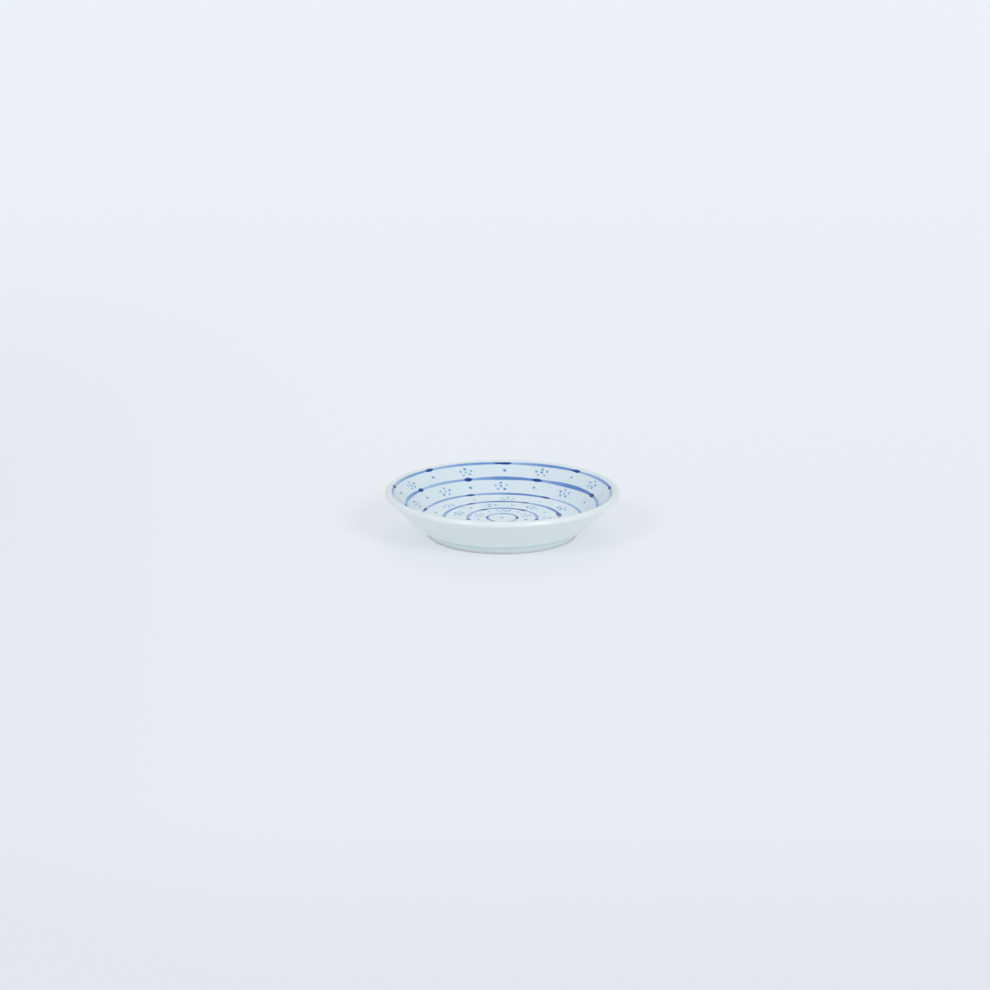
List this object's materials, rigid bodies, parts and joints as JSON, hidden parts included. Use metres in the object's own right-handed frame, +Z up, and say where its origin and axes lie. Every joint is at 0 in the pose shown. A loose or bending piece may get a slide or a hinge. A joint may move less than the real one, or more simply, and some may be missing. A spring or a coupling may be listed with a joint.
{
  "type": "pickle plate",
  "caption": "Small round porcelain plate with sloping wall, rounded lip and foot ring, clear glazed over brushed cobalt bands, blossoms and dots, for pickles or sauce.",
  "frame": {"origin": "centre of the plate, on the surface that the foot ring stands on", "axes": "+Z up out of the well; the picture looks along +Y with +X to the right"},
  "size_m": [0.105, 0.105, 0.0202],
  "materials": {
    "bare_clay": "unglazed, fine grained",
    "clear_glaze": "glossy, bluish white",
    "cobalt_wash": "glossy, uneven brushed blue",
    "cobalt_dark": "glossy, dark pooled blue",
    "cobalt_dots": "glossy, soft edged blue"
  },
  "bodies": {
    "root": {"clay_body": "bare_clay", "foot_ring": "bare_clay", "inside_glaze": "clear_glaze", "outside_glaze": "clear_glaze", "base_glaze": "clear_glaze", "rim_band": "cobalt_wash", "upper_wall_band": "cobalt_wash", "lower_wall_band": "cobalt_wash", "outer_well_band": "cobalt_wash", "middle_well_band": "cobalt_wash", "inner_well_band": "cobalt_wash", "rim_band_knots": "cobalt_dark", "upper_wall_band_knots": "cobalt_dark", "lower_wall_band_knots": "cobalt_dark", "outer_well_band_knots": "cobalt_dark", "middle_well_band_knots": "cobalt_dark", "inner_well_band_knots": "cobalt_dark", "rim_blossoms": "cobalt_dots", "wall_blossoms": "cobalt_dots", "outer_well_blossoms": "cobalt_dots", "middle_well_blossoms": "cobalt_dots", "inner_well_blossoms": "cobalt_dots", "rim_dots": "cobalt_dots", "wall_dots": "cobalt_dots", "outer_well_dots": "cobalt_dots", "middle_well_dots": "cobalt_dots", "inner_well_dots": "cobalt_dots", "centre_dot": "cobalt_dark"}
  },
  "joints": []
}
